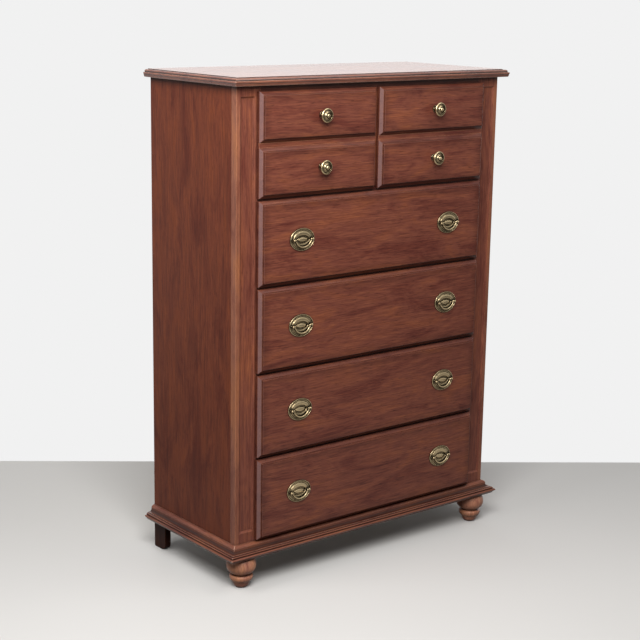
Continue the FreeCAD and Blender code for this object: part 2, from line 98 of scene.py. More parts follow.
def stained_figure(tree, grain, dark, middle, light):
    """The stain's colour over the wood's figure: a third growth bands and the rest fibres, which the
    eye reads as straight grain. Real fibres are under a millimetre wide, and are drawn at 2.6 mm to
    show. They come back too, because they also shape the lacquer."""
    band_space = grain_space(tree, grain, across=9 * mm, along=230 * mm)
    fibre_space = grain_space(tree, grain, across=2.6 * mm, along=60 * mm)
    band = add(tree, "ShaderNodeTexNoise",
               {"Scale": 1.0, "Detail": 4.0, "Roughness": 0.65, "Distortion": 0.6}, {"Vector": band_space})
    fibre = add(tree, "ShaderNodeTexNoise",
                {"Scale": 1.0, "Detail": 3.0, "Roughness": 0.65}, {"Vector": fibre_space})
    figure = add(tree, "ShaderNodeMix", {"data_type": "FLOAT", "Factor": 0.68},
                 {"A": band.outputs["Fac"], "B": fibre.outputs["Fac"]})
    stain = add(tree, "ShaderNodeValToRGB", {"stops": [(0.27, dark), (0.5, middle), (0.73, light)]},
                {"Fac": figure.outputs["Result"]})
    return stain.outputs["Color"], fibre.outputs["Fac"]


def thinned(tree, stain, wear_and_highlight, thin_from):
    """Stain a third of the way to the wear colour from the distance thin_from to either side of x = 0
    on, reached over 2 mm: it gives each stile its paler outer edge."""
    place = add(tree, "ShaderNodeTexCoord")
    axes = add(tree, "ShaderNodeSeparateXYZ", {}, {"Vector": place.outputs["Object"]})
    reach = add(tree, "ShaderNodeMath", {"operation": "ABSOLUTE"}, {0: axes.outputs["X"]})
    thin = add(tree, "ShaderNodeMapRange",
               {"From Min": thin_from, "From Max": thin_from + 2 * mm, "To Min": 0.0, "To Max": 0.34},
               {"Value": reach.outputs["Value"]})
    worn = add(tree, "ShaderNodeMix", {"data_type": "RGBA", "B": linear(wear_and_highlight)},
               {"Factor": thin.outputs["Result"], "A": stain})
    return worn.outputs["Result"]


def patched(tree, stain, grain):
    """Stain multiplied by broad patches, orange to plum, where the wood drank it unevenly."""
    patch_space = grain_space(tree, grain, across=62 * mm, along=240 * mm)
    patch = add(tree, "ShaderNodeTexNoise",
                {"Scale": 1.0, "Detail": 4.0, "Roughness": 0.66, "Distortion": 0.9}, {"Vector": patch_space})
    cast = add(tree, "ShaderNodeValToRGB", {"stops": [(0.35, "fff1da"), (0.5, "ece0dd"), (0.65, "c7afb2")]},
               {"Fac": patch.outputs["Fac"]})
    uneven = add(tree, "ShaderNodeMix", {"data_type": "RGBA", "blend_type": "MULTIPLY", "Factor": 1.0},
                 {"A": stain, "B": cast.outputs["Color"]})
    return uneven.outputs["Result"]


def painted_bevel_reflection(tree, stain, bevel_lean):
    """A painted reflection of a window's light that greys the bevels that look left: a share for how near
    the normal's y is to -bevel_lean, full within 0.05 and none from 0.12, times a share that grows as its x
    falls below -0.3."""
    normal = add(tree, "ShaderNodeTexCoord").outputs["Normal"]
    facing = add(tree, "ShaderNodeSeparateXYZ", {}, {"Vector": normal})
    off = add(tree, "ShaderNodeMath", {"operation": "ADD", 1: bevel_lean}, {0: facing.outputs["Y"]})
    off = add(tree, "ShaderNodeMath", {"operation": "ABSOLUTE"}, {0: off.outputs["Value"]})
    leaning = add(tree, "ShaderNodeMapRange",
                  {"From Min": 0.05, "From Max": 0.12, "To Min": 1.0, "To Max": 0.0},
                  {"Value": off.outputs["Value"]})
    leftwards = add(tree, "ShaderNodeMapRange",
                    {"From Min": -0.3, "From Max": -0.5, "To Min": 0.0, "To Max": 0.42},
                    {"Value": facing.outputs["X"]})
    reflection_share = add(tree, "ShaderNodeMath", {"operation": "MULTIPLY"},
               {0: leaning.outputs["Result"], 1: leftwards.outputs["Result"]})
    # Painted reflection: the bevels that look left are mixed towards a pale grey.
    reflected = add(tree, "ShaderNodeMix", {"data_type": "RGBA", "B": linear("a88a88")},
               {"Factor": reflection_share.outputs["Value"], "A": stain})
    return reflected.outputs["Result"]


def open_pores(tree, stain, grain):
    """Stain darkened in short open pores, which are the peaks of a fine noise. Real pores are a few
    tenths of a millimetre wide, and are drawn at up to 1.6 mm to show. Their depth comes back too,
    because they also dent the lacquer."""
    pore_space = grain_space(tree, grain, across=1.6 * mm, along=22 * mm)
    pore = add(tree, "ShaderNodeTexNoise",
               {"Scale": 1.0, "Detail": 1.0, "Roughness": 0.5}, {"Vector": pore_space})
    depth = add(tree, "ShaderNodeMapRange",
                {"From Min": 0.6, "From Max": 0.74, "To Min": 0.0, "To Max": 0.45},
                {"Value": pore.outputs["Fac"]})
    pricked = add(tree, "ShaderNodeMix",
                  {"data_type": "RGBA", "blend_type": "MULTIPLY", "B": linear("3a2622")},
                  {"Factor": depth.outputs["Result"], "A": stain})
    return pricked.outputs["Result"], depth.outputs["Result"]


def edge_light_and_painted_shade(tree, stain, wear_and_highlight, arris, hollow):
    """Stain lightened to the worn-edge colour on arrises, which is worn edge and painted highlight,
    and painted shade, dark brown, in corners and hollows.

    An arris is where the normal rounded over the distance arris leaves the face's own: the lightening
    grows as their dot product falls from 0.995 to 0.9. A corner is where little of the air within the
    distance hollow is open, or where the mesh's painted-shade value says so. There the stain is
    multiplied towards dark brown as painted shade, and the lightening is less by that.
    """
    true_normal = add(tree, "ShaderNodeNewGeometry")
    round_normal = add(tree, "ShaderNodeBevel", {"samples": 4, "Radius": arris})
    meeting = add(tree, "ShaderNodeVectorMath", {"operation": "DOT_PRODUCT"},
                  {0: true_normal.outputs["Normal"], 1: round_normal.outputs["Normal"]})
    # Worn arrises, lightened to the worn-edge colour, which also paints their highlights.
    rubbed_and_lit = add(tree, "ShaderNodeMapRange",
                 {"From Min": 0.995, "From Max": 0.9, "To Min": 0.0, "To Max": 0.85},
                 {"Value": meeting.outputs["Value"]})
    # Painted shade: where the air is closed in, or where the mesh's painted-shade value is high.
    open_air = add(tree, "ShaderNodeAmbientOcclusion", {"samples": 4, "Distance": hollow})
    closed = add(tree, "ShaderNodeMapRange",
                 {"From Min": 0.4, "From Max": 0.92, "To Min": 1.0, "To Max": 0.0},
                 {"Value": open_air.outputs["AO"]})
    sunk = add(tree, "ShaderNodeAttribute", {"attribute_name": "sunk"})
    corner = add(tree, "ShaderNodeMath", {"operation": "MAXIMUM"},
                 {0: closed.outputs["Result"], 1: sunk.outputs["Fac"]})
    outer = add(tree, "ShaderNodeMath", {"operation": "SUBTRACT", "use_clamp": True},
                {0: rubbed_and_lit.outputs["Result"], 1: corner.outputs["Value"]})
    worn = add(tree, "ShaderNodeMix", {"data_type": "RGBA", "B": linear(wear_and_highlight)},
               {"Factor": outer.outputs["Value"], "A": stain})
    # The painted shade multiplies the stain towards dark brown.
    shade_strength = add(tree, "ShaderNodeMath", {"operation": "MULTIPLY", 1: 0.8}, {0: corner.outputs["Value"]})
    shaded = add(tree, "ShaderNodeMix",
                {"data_type": "RGBA", "blend_type": "MULTIPLY", "B": linear("35201c")},
                {"Factor": shade_strength.outputs["Value"], "A": worn.outputs["Result"]})
    return shaded.outputs["Result"]


def stained_wood(name, grain, dark, middle, light, wear_and_highlight, roughness=0.3, shine=0.3, arris=1.6 * mm,
                 hollow=7 * mm, thin_from=None, bevel_lean=None):
    """Mahogany-stained hardwood under satin lacquer, which gives soft highlights over a lively grain.

    The colours are those of dark, middle and light fibres and of worn edges, whose pale colour also
    paints the arrises' highlights. The arris is how far the worn edge and painted highlight reach, and the
    hollow how far painted shade reaches into corners. The lacquer's roughness follows the fibres, and its
    relief is the fibres less the pores.
    """
    material, tree = new_material(name)
    stain, fibre = stained_figure(tree, grain, dark, middle, light)
    if thin_from:
        stain = thinned(tree, stain, wear_and_highlight, thin_from)
    stain = patched(tree, stain, grain)
    if bevel_lean:
        stain = painted_bevel_reflection(tree, stain, bevel_lean)
    stain, pores = open_pores(tree, stain, grain)
    stain = edge_light_and_painted_shade(tree, stain, wear_and_highlight, arris, hollow)
    sheen = add(tree, "ShaderNodeMapRange", {"To Min": roughness - 0.05, "To Max": roughness + 0.12},
                {"Value": fibre})
    height = add(tree, "ShaderNodeMath", {"operation": "SUBTRACT"}, {0: fibre, 1: pores})
    relief = add(tree, "ShaderNodeBump", {"Strength": 0.25, "Distance": 0.12 * mm},
                 {"Height": height.outputs["Value"]})
    surface = add(tree, "ShaderNodeBsdfPrincipled", {"IOR": 1.5, "Specular IOR Level": shine},
                  {"Base Color": stain, "Roughness": sheen.outputs["Result"],
                   "Normal": relief.outputs["Normal"]})
    add(tree, "ShaderNodeOutputMaterial", {}, {"Surface": surface.outputs["BSDF"]})
    return material


def bare_wood(name, grain, dark, light, across=14 * mm, along=420 * mm):
    """Sanded poplar or birch ply without finish: pale and matt, two thirds soft bands and one third
    fibres, which are drawn coarser than real ones to show."""
    material, tree = new_material(name)
    band_space = grain_space(tree, grain, across, along)
    fibre_space = grain_space(tree, grain, across=1.6 * mm, along=60 * mm)
    band = add(tree, "ShaderNodeTexNoise",
               {"Scale": 1.0, "Detail": 3.0, "Distortion": 0.8}, {"Vector": band_space})
    fibre = add(tree, "ShaderNodeTexNoise", {"Scale": 1.0, "Detail": 2.0}, {"Vector": fibre_space})
    figure = add(tree, "ShaderNodeMix", {"data_type": "FLOAT", "Factor": 0.35},
                 {"A": band.outputs["Fac"], "B": fibre.outputs["Fac"]})
    colour = add(tree, "ShaderNodeValToRGB", {"stops": [(0.38, dark), (0.62, light)]},
                 {"Fac": figure.outputs["Result"]})
    relief = add(tree, "ShaderNodeBump", {"Strength": 0.2, "Distance": 0.15 * mm},
                 {"Height": fibre.outputs["Fac"]})
    surface = add(tree, "ShaderNodeBsdfPrincipled", {"Roughness": 0.62, "IOR": 1.45},
                  {"Base Color": colour.outputs["Color"], "Normal": relief.outputs["Normal"]})
    add(tree, "ShaderNodeOutputMaterial", {}, {"Surface": surface.outputs["BSDF"]})
    return material


def finish_nodes(material, *names):
    """Gives carried-over CAD nodes their finish."""
    for name in names:
        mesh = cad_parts[name].data
        mesh.materials.clear()
        mesh.materials.append(material)


# The front is a warm red-brown with pale rubbed edges, which also paint their highlights. The sides are
# browner and duller, and painted darker for the shade they stand in; the rear feet are painted nearly
# black for the shadow under the case, and painted shade darkens the thin rails between the drawers.
red_brown = {"dark": "552d24", "middle": "7d4a3c", "light": "9d6348", "wear_and_highlight": "b98464", "shine": 0.2}
poplar = {"dark": "a98457", "light": "c9a678"}
upright_stain_and_shade = stained_wood("stained_side", "z", "532c1d", "6f3a27", "864b32", "a86a4a",
                             roughness=0.36, shine=0.1)
rear_foot_shade = stained_wood("shaded_rear_foot", "z", "2c1712", "3b2019", "4a2a20", "7a4d38",
                               roughness=0.4, shine=0.06)
long_stain_and_shade = stained_wood("stained_rail", "x", **red_brown, hollow=25 * mm)
poplar_deep = bare_wood("poplar_runner", "y", **poplar)
poplar_long = bare_wood("poplar_rail", "x", **poplar)
back_ply = bare_wood("birch_ply", "z", "a88a60", "c4a97f", across=30 * mm, along=600 * mm)
finish_nodes(upright_stain_and_shade, "side_left", "side_right")
finish_nodes(rear_foot_shade, "rear_feet")
finish_nodes(long_stain_and_shade, "top_rail", "rail_1", "rail_2", "rail_3", "rail_4", "bottom_rail")
finish_nodes(poplar_deep, "runners")
finish_nodes(poplar_long, "rear_rails")
finish_nodes(back_ply, "back_panel", "bottom_board")

# Stiles: the upright posts of the face frame, each with one long panel sunk into it by a router with
# a bevel cutter. The short stile between the deep drawers is a plain board.


def eased(points, support=0.35 * mm, steps=3):
    """A profile with rounded corners, from (u, v, radius) rows.

    A corner of radius r starts r * tan(turn / 2) before the corner. From there the arc is
    r * (sin f * heading + (1 - cos f) * side), with f from 0 to the turn. A point beyond each end of
    the arc keeps the flats flat. A corner of no radius stays one point.
    """
    points = np.asarray(points, float)
    corner, radius = points[1:-1, :2], points[1:-1, 2]
    before = corner - points[:-2, :2]
    after = points[2:, :2] - corner
    before /= np.linalg.norm(before, axis=1)[:, None]
    after /= np.linalg.norm(after, axis=1)[:, None]
    cross = before[:, 0] * after[:, 1] - before[:, 1] * after[:, 0]
    turn = np.arctan2(np.abs(cross), (before * after).sum(1))
    side = np.stack([-before[:, 1], before[:, 0]], 1) * np.where(cross < 0, -1.0, 1.0)[:, None]
    reach = radius * np.tan(turn / 2)
    swing = turn[:, None] * np.linspace(0, 1, steps + 1)
    arc = np.sin(swing)[..., None] * before[:, None] + (1 - np.cos(swing))[..., None] * side[:, None]
    arc = (corner - reach[:, None] * before)[:, None] + radius[:, None, None] * arc
    lead = corner - (reach + support)[:, None] * before
    trail = corner + (reach + support)[:, None] * after
    rows = np.concatenate([lead[:, None], arc, trail[:, None]], axis=1)
    kept = np.ones(rows.shape[:2], bool)
    kept[radius == 0] = False
    kept[radius == 0, 1] = True
    return np.concatenate([points[:1, :2], rows[kept], points[-1:, :2]])


def skin(rings):
    """A closed surface from rings of points, (ring, around, xyz): quads join each ring to the next,
    and a flat face closes each end."""
    count, around = rings.shape[:2]
    index = np.arange(count * around).reshape(count, around)
    after = np.roll(index, -1, axis=1)
    quads = np.stack([index[:-1], after[:-1], after[1:], index[1:]], axis=-1).reshape(-1, 4)
    return rings.reshape(-1, 3), quads.tolist() + [index[0, ::-1].tolist(), index[-1].tolist()]


def boxed(rects, radius=0.8 * mm, support=0.5 * mm, steps=3):
    """Rings of rounded rectangles in the plane of u and v, one for each (u low, u high, v low, v high, w).

    A corner's point is its centre plus radius * (cos a, sin a), a quarter turn at each corner, with a
    point slid along each side just beyond the arc so that the sides stay flat.
    """
    rects = np.asarray(rects, float)[:, :, None]
    quarter = np.concatenate([[0], np.linspace(0, 90, steps + 1), [90]])
    slide = np.concatenate([[-support], np.zeros(steps + 1), [support]])
    angle = np.radians(np.concatenate([quarter, quarter + 90, quarter + 180, quarter + 270]))
    slide = np.tile(slide, 4)
    right = np.repeat([True, False, False, True], len(quarter))
    high = np.repeat([True, True, False, False], len(quarter))
    u = np.where(right, rects[:, 1] - radius, rects[:, 0] + radius) + radius * np.cos(angle)
    v = np.where(high, rects[:, 3] - radius, rects[:, 2] + radius) + radius * np.sin(angle)
    w = np.broadcast_to(rects[:, 4], u.shape)
    return np.stack([u - slide * np.sin(angle), v + slide * np.cos(angle), w], axis=-1)


def facing_front(rings):
    """Turns (u, v, w) into a piece that looks out of the chest: x = u, z = v and y = -w."""
    return np.stack([rings[..., 0], -rings[..., 2], rings[..., 1]], axis=-1)


def inset_rects(rect, profile):
    """Rectangles that shrink by a profile's inset on all sides, at its heights."""
    low_u, high_u, low_v, high_v = rect
    inset, height = profile[:, 0], profile[:, 1]
    return np.stack([low_u + inset, high_u - inset, low_v + inset, high_v - inset, height], axis=1)


def make_piece(name, skins, material, body, slot, *nodes, sunk=None):
    """Joins closed surfaces, whose points are places in the frame, into one mesh that joins the frame.

    The painted-shade value, 0 to 1 at each point, becomes an attribute by which shade is painted into the
    stain.
    """
    vertices, faces, count = [], [], 0
    for points, polygons in skins:
        vertices.append(points)
        faces += [[corner + count for corner in polygon] for polygon in polygons]
        count += len(points)
    mesh = bpy.data.meshes.new(name)
    mesh.from_pydata(np.concatenate(vertices).tolist(), [], faces)
    mesh.shade_smooth()
    mesh.set_sharp_from_angle(angle=math.radians(42))
    mesh.materials.append(material)
    if sunk is not None:
        mesh.attributes.new("sunk", "FLOAT", "POINT").data.foreach_set("value", sunk.astype(np.float32))
    piece = bpy.data.objects.new(name, mesh)
    bpy.context.scene.collection.objects.link(piece)
    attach(piece, body)
    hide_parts(*nodes)


# The sunk panel's distance from the stile's outer edge, its width, its distance from the stile's ends,
# its depth and its bevel. A profile starts or ends on a flat, that far from its first or last corner.
panel_outer, panel_width = 12.5 * mm, 46 * mm
panel_top, panel_bottom = 27 * mm, 69 * mm
panel_depth, panel_bevel, arris = 4 * mm, 5 * mm, 0.9 * mm
flat_start, flat_in = 2 * mm, 3 * mm
stile_thin_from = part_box("side_right")[1].x - panel_outer
upright_frame = stained_wood("stained_stile", "z", **red_brown, thin_from=stile_thin_from)
for side, sign in (("left", -1), ("right", 1)):
    low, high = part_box(f"stile_{side}")
    back, front = -high.y, -low.y
    outer_x = high.x if sign > 0 else low.x
    near, far = sorted((outer_x - sign * panel_outer, outer_x - sign * (panel_outer + panel_width)))
    board = eased([(flat_in, back, 0), (0, back, arris), (0, front, arris), (flat_in, front, 0)])
    panel = eased([
        (-flat_start, front, 0), (0, front, arris), (panel_bevel, front - panel_depth, arris),
        (panel_bevel + flat_in, front - panel_depth, 0),
    ])
    rects = np.concatenate([
        inset_rects((low.x, high.x, low.z, high.z), board),
        inset_rects((near, far, low.z + panel_bottom, high.z - panel_top), panel),
    ])
    make_piece(f"stile_{side}_shaped", [skin(facing_front(boxed(rects)))], upright_frame, "case",
               "stained_wood", f"stile_{side}")
finish_nodes(upright_frame, "centre_stile")

# Top board: one wide glued-up board with the grain along its length, its front and ends run over a
# moulding cutter: a swelled lower band, a bead, a quirk, an ovolo and a fillet. It is screwed down
# from inside.


def bowed(start, end, sag, count=7):
    """Points of an arc from start to end: the chord plus a bulge of 4 * sag * s * (1 - s) to its left."""
    start, end = np.asarray(start, float), np.asarray(end, float)
    share = np.linspace(0, 1, count)[:, None]
    run = end - start
    left = np.array([-run[1], run[0]]) / np.linalg.norm(run)
    points = start + share * run + 4 * sag * share * (1 - share) * left
    return np.concatenate([points, np.zeros((count, 1))], axis=1)


def hollowness(section, window=4.5 * mm, full=1.2 * mm):
    """How deep each point of a section lies in a hollow, 0 to 1, for a section that runs anticlockwise.

    The depth is the most that any point q within the window round p stands above p's own tangent,
    (q - p) . n, and full is the depth that counts as 1.
    """
    heading = np.gradient(section[:, :2], axis=0)
    normal = np.stack([heading[:, 1], -heading[:, 0]], 1) / np.linalg.norm(heading, axis=1)[:, None]
    apart = section[None, :, :2] - section[:, None, :2]
    above = np.where(np.linalg.norm(apart, axis=2) < window, (apart * normal[:, None]).sum(2), 0)
    return np.clip(above.max(axis=1) / full, 0, 1)


# Mouldings catch hands and cloths, so their edges are rubbed nearly to bare wood, and that pale colour
# also paints their highlights; their hollows get painted shade by their depth. The top is polished
# smoother than the rest, and mirrors the pale backdrop.
moulding_stain = {"dark": "66402f", "middle": "815140", "light": "946350", "wear_and_highlight": "d3ad97"}
top_wood = stained_wood("stained_top", "x", **moulding_stain, roughness=0.24, shine=0.65, arris=1.5 * mm,
                        hollow=8 * mm)
low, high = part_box("top_board")
rise = high.z - low.z
edge = np.concatenate([
    [(9 * mm, 0, 0)],
    bowed((3.4 * mm, 0.2 * mm), (1.2 * mm, 6.6 * mm), 0.5 * mm, 5),
    [(1.4 * mm, 7.2 * mm, 0.2 * mm)],
    bowed((0.7 * mm, 7.6 * mm), (0.7 * mm, 13 * mm), 0.7 * mm, 7),
    [(1.4 * mm, 13.2 * mm, 0.2 * mm), (4.6 * mm, 13.3 * mm, 0.2 * mm), (4.6 * mm, 14.9 * mm, 0.2 * mm)],
    bowed((3.4 * mm, 15.1 * mm), (12.6 * mm, rise - 2.1 * mm), 2.2 * mm, 9),
    [(13 * mm, rise - 2 * mm, 0.25 * mm), (15 * mm, rise - 2 * mm, 0.25 * mm), (15 * mm, rise, 0.4 * mm),
     (22 * mm, rise, 0)],
])
profile = eased(edge, support=0.2 * mm)
inset, height = profile[:, 0], profile[:, 1]
back = np.full(len(profile), high.y)
rings = boxed(np.stack([low.x + inset, high.x - inset, low.y + inset, back, low.z + height], axis=1))
# The edge's hollows get painted shade by how deep they lie.
make_piece("top_board_shaped", [skin(rings)], top_wood, "case", "stained_wood", "top_board",
           sunk=np.repeat(hollowness(profile * (-1, 1)), rings.shape[1]))

# Base moulding: three lengths run to one section, mitred at the front corners, glued and pinned to
# the case. From below: a hollowed foot, a nose, a quirk, a bead, a deep cove and a rounded ledge,
# which the case stands behind.


def moulded_run(section, low, high, low_mitre, high_mitre):
    """A straight moulding from its closed section, (out, height) rows, as a ring at each end.

    The end's place along the run is low or high, carried on by the section's own reach where mitred.
    """
    out, height = section[:, 0], section[:, 1]
    stations = np.stack([low - low_mitre * out, high + high_mitre * out])
    out, height = np.broadcast_to(out, stations.shape), np.broadcast_to(height, stations.shape)
    return np.stack([stations, out, height], -1)


bottom, ledge_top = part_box("base_moulding_front")[0].z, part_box("base_moulding_front")[1].z
section = eased(np.concatenate([
    [(0, bottom, 0), (24.4 * mm, bottom, 0.4 * mm)],
    bowed((25.6 * mm, bottom + 0.8 * mm), (31 * mm, bottom + 7.4 * mm), 0.8 * mm, 6),
    bowed((31.7 * mm, bottom + 8.2 * mm), (31.7 * mm, bottom + 13 * mm), -1.3 * mm, 9),
    [(26.4 * mm, bottom + 13.6 * mm, 0.2 * mm), (26.4 * mm, bottom + 15 * mm, 0.2 * mm)],
    bowed((27 * mm, bottom + 15.4 * mm), (25.4 * mm, bottom + 18.8 * mm), -1.2 * mm, 7),
    [(21.8 * mm, bottom + 19.4 * mm, 0.2 * mm)],
    bowed((21.6 * mm, bottom + 20.6 * mm), (10.4 * mm, bottom + 31.8 * mm), 4.4 * mm, 12),
    [(10.4 * mm, bottom + 33 * mm, 0.3 * mm)],
    bowed((9.2 * mm, bottom + 35.4 * mm), (0.4 * mm, ledge_top - 0.2 * mm), -1 * mm, 7),
    [(0, ledge_top, 0)],
]), support=0.2 * mm)
# The section's hollows, the cove most, get painted shade by how deep they lie.
sunk = np.tile(hollowness(section), 2)
case_low, case_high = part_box("side_left")[0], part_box("side_right")[1]
front_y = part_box("stile_left")[0].y
base_finish = {**moulding_stain, "shine": 0.2, "arris": 1.8 * mm, "hollow": 12 * mm}
side_moulding = stained_wood("stained_side_moulding", "y", **base_finish)
long_moulding = stained_wood("stained_front_moulding", "x", **base_finish)
run = moulded_run(section, case_low.x, case_high.x, low_mitre=1, high_mitre=1)
front_run = np.stack([run[..., 0], front_y - run[..., 1], run[..., 2]], -1)
make_piece("base_moulding_front_shaped", [skin(front_run[:, ::-1])], long_moulding, "case", "stained_wood",
           "base_moulding_front", sunk=sunk[::-1])
run = moulded_run(section, front_y, case_high.y, low_mitre=1, high_mitre=0)
for side, sign, wall in (("left", -1, case_low.x), ("right", 1, case_high.x)):
    side_run = np.stack([wall + sign * run[..., 1], run[..., 0], run[..., 2]], -1)
    side_run, side_shade = (side_run, sunk) if sign < 0 else (side_run[:, ::-1], sunk[::-1])
    make_piece(f"base_moulding_{side}_shaped", [skin(side_run)], side_moulding, "case", "stained_wood",
               f"base_moulding_{side}", sunk=side_shade)

# Front feet: bun feet turned on a lathe from one block each, with a dowel up into the case. Their
# stain is worn from mopping and scuffs, so they are the lightest wood on the chest.


def turned(profile, around=72):
    """A turned form on the z axis: x = r cos a and y = r sin a, for each (radius, height) row."""
    angle = np.linspace(0, 2 * np.pi, around, endpoint=False)
    x, y = profile[:, :1] * np.cos(angle), profile[:, :1] * np.sin(angle)
    return np.stack([x, y, np.broadcast_to(profile[:, 1:2], x.shape)], -1)


def swollen(fold, crown, count):
    """A bulge's (radius, height) from its fold to its crown: a part of an ellipse that ends upright.

    With s from 15 to 90 degrees, the radius gains as sin s and the height as 1 - cos s.
    """
    fold, crown = np.asarray(fold, float), np.asarray(crown, float)
    turn = np.radians(np.linspace(15, 90, count))
    gain = (np.sin(turn) - np.sin(turn[0])) / (1 - np.sin(turn[0]))
    climb = (np.cos(turn[0]) - np.cos(turn)) / np.cos(turn[0])
    radius, height = fold[0] + gain * (crown[0] - fold[0]), fold[1] + climb * (crown[1] - fold[1])
    return np.stack([radius, height, np.zeros(count)], 1)


foot_wood = stained_wood("worn_foot", "z", "845847", "bd876c", "dfac8d", "e9bd9e", roughness=0.38)
low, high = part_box("front_feet")
foot_radius = 41 * mm
# A turned profile starts and ends this near its axis, and a small flat face closes it there.
axis_gap = 1 * mm
foot = eased(np.concatenate([
    [(axis_gap, 0, 0), (15.6 * mm, 0, 1.2 * mm)],
    bowed((16.6 * mm, 1.5 * mm), (23 * mm, 15.4 * mm), -1.2 * mm, 6),
    [(25 * mm, 16 * mm, 0.6 * mm), (25.4 * mm, 18.6 * mm, 0.4 * mm)],
    swollen((26 * mm, 19.2 * mm), (32.5 * mm, 30.4 * mm), 7),
    swollen((25.4 * mm, 38 * mm), (32.5 * mm, 31.4 * mm), 6)[::-1],
    [(24.4 * mm, 38.6 * mm, 0.4 * mm), (24.4 * mm, 40 * mm, 0.4 * mm)],
    swollen((25.6 * mm, 40.6 * mm), (foot_radius, 62.5 * mm), 13),
    swollen((32 * mm, 85 * mm), (foot_radius, 64 * mm), 11)[::-1],
    [(31 * mm, 85.6 * mm, 0.4 * mm), (31 * mm, high.z, 0.3 * mm), (axis_gap, high.z, 0)],
]), support=0.2 * mm)
middle_y = (low.y + high.y) / 2
places = [np.array((x, middle_y, 0)) for x in (low.x + foot_radius, high.x - foot_radius)]
make_piece("front_feet_shaped", [skin(turned(foot) + place) for place in places], foot_wood, "case",
           "stained_wood", "front_feet")

# Drawer fronts: thick boards with a lip that laps the frame and a raised face inside a bevel and a
# quirk, all cut on the spindle. A deep front has a level channel cut across it, so it passes for two.
# Behind the lip a tongue fills the opening, further in beside the case's stiles than elsewhere.

lip_thick, bevel_rise, face_proud = 8 * mm, 15 * mm, 20.5 * mm
lip_back_in, bevel_in, quirk_in, face_in = 4 * mm, 8.5 * mm, 10.5 * mm, 11 * mm
# Painted shade round each raised face: its share on the lip, bevel and quirk, fading out over the face to
# its reach.
edge_shade_reach, edge_shade_share = 34 * mm, 0.4
tongue_outer, tongue_inner, tongue_back, tongue_lap = 14 * mm, 12 * mm, 8 * mm, 1 * mm
channel, web_in = 12 * mm, 0.1 * mm


def lipped_face(rect, back):
    """A raised face over a rectangle of x and z: lip, bevel, quirk and face, from the depth back out.

    With it comes how much painted shade darkens each point: a set share up to the face's edge, and from
    there less and less to none at a set reach.
    """
    profile = eased([
        (lip_back_in, back, 0), (0, back, 0.6 * mm), (0, back + lip_thick, 0.9 * mm),
        (bevel_in, back + bevel_rise, 0.8 * mm), (quirk_in, back + bevel_rise, 0.35 * mm),
        (quirk_in, back + face_proud, 1.3 * mm), (edge_shade_reach, back + face_proud, 0),
    ], support=0.3 * mm)
    rings = boxed(inset_rects(rect, profile), radius=0.9 * mm)
    edge_shade = np.interp(profile[:, 0], [face_in, edge_shade_reach], [edge_shade_share, 0])
    return skin(facing_front(rings)), np.repeat(edge_shade, rings.shape[1])


def plain_block(rect, back, face):
    """A block over a rectangle of x and z with barely eased edges, between two depths outwards, and no
    painted shade on any of its points."""
    ease, support = 0.3 * mm, 0.2 * mm
    profile = eased([
        (flat_start, back, 0), (0, back, ease), (0, face, ease), (flat_start, face, 0),
    ], support, steps=2)
    rings = boxed(inset_rects(rect, profile), ease, support, steps=2)
    return skin(facing_front(rings)), np.zeros(rings.shape[0] * rings.shape[1])


# The bevel's normal has this share towards the front, by which its painted reflection is found.
bevel_lean = bevel_in / math.hypot(bevel_in, bevel_rise - lip_thick)
front_wood = stained_wood("stained_front", "x", **red_brown, bevel_lean=bevel_lean)
wide_drawers = [f"drawer_{number}" for number in (2, 3, 4, 5)]
deep_drawers = ["drawer_1_left", "drawer_1_right"]
for drawer in deep_drawers + wide_drawers:
    low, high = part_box(f"{drawer}_front")
    lip_back = -(low.y + face_proud)
    if drawer in wide_drawers:
        skins = [lipped_face((low.x, high.x, low.z, high.z), lip_back)]
    else:
        middle = (low.z + high.z) / 2
        web = (low.x + web_in, high.x - web_in, middle - channel, middle + channel)
        skins = [
            lipped_face((low.x, high.x, middle + channel / 2, high.z), lip_back),
            lipped_face((low.x, high.x, low.z, middle - channel / 2), lip_back),
            plain_block(web, lip_back, lip_back + lip_thick),
        ]
    left_in = tongue_inner if drawer.endswith("right") else tongue_outer
    right_in = tongue_inner if drawer.endswith("left") else tongue_outer
    tongue = (low.x + left_in, high.x - right_in, low.z + tongue_inner, high.z - tongue_inner)
    skins.append(plain_block(tongue, lip_back - tongue_back, lip_back + tongue_lap))
    make_piece(f"{drawer}_front_shaped", [shell for shell, edge_shade in skins], front_wood, drawer, "stained_wood",
               f"{drawer}_front", sunk=np.concatenate([edge_shade for shell, edge_shade in skins]))

# Drawer boxes: poplar sides and back, glued and pinned, with a ply bottom slid into grooves. They
# are left bare inside and out.

box_ply = bare_wood("drawer_ply", "x", "b0926a", "cdb48b", across=34 * mm, along=500 * mm)
for drawer in deep_drawers + wide_drawers:
    finish_nodes(poplar_deep, f"{drawer}_sides")
    finish_nodes(poplar_long, f"{drawer}_back")
    finish_nodes(box_ply, f"{drawer}_bottom")

# Knobs: turned brass, lacquered over an antique patina, held by a machine screw from inside. The
# patina stays dark in the grooves and is polished off the rims.


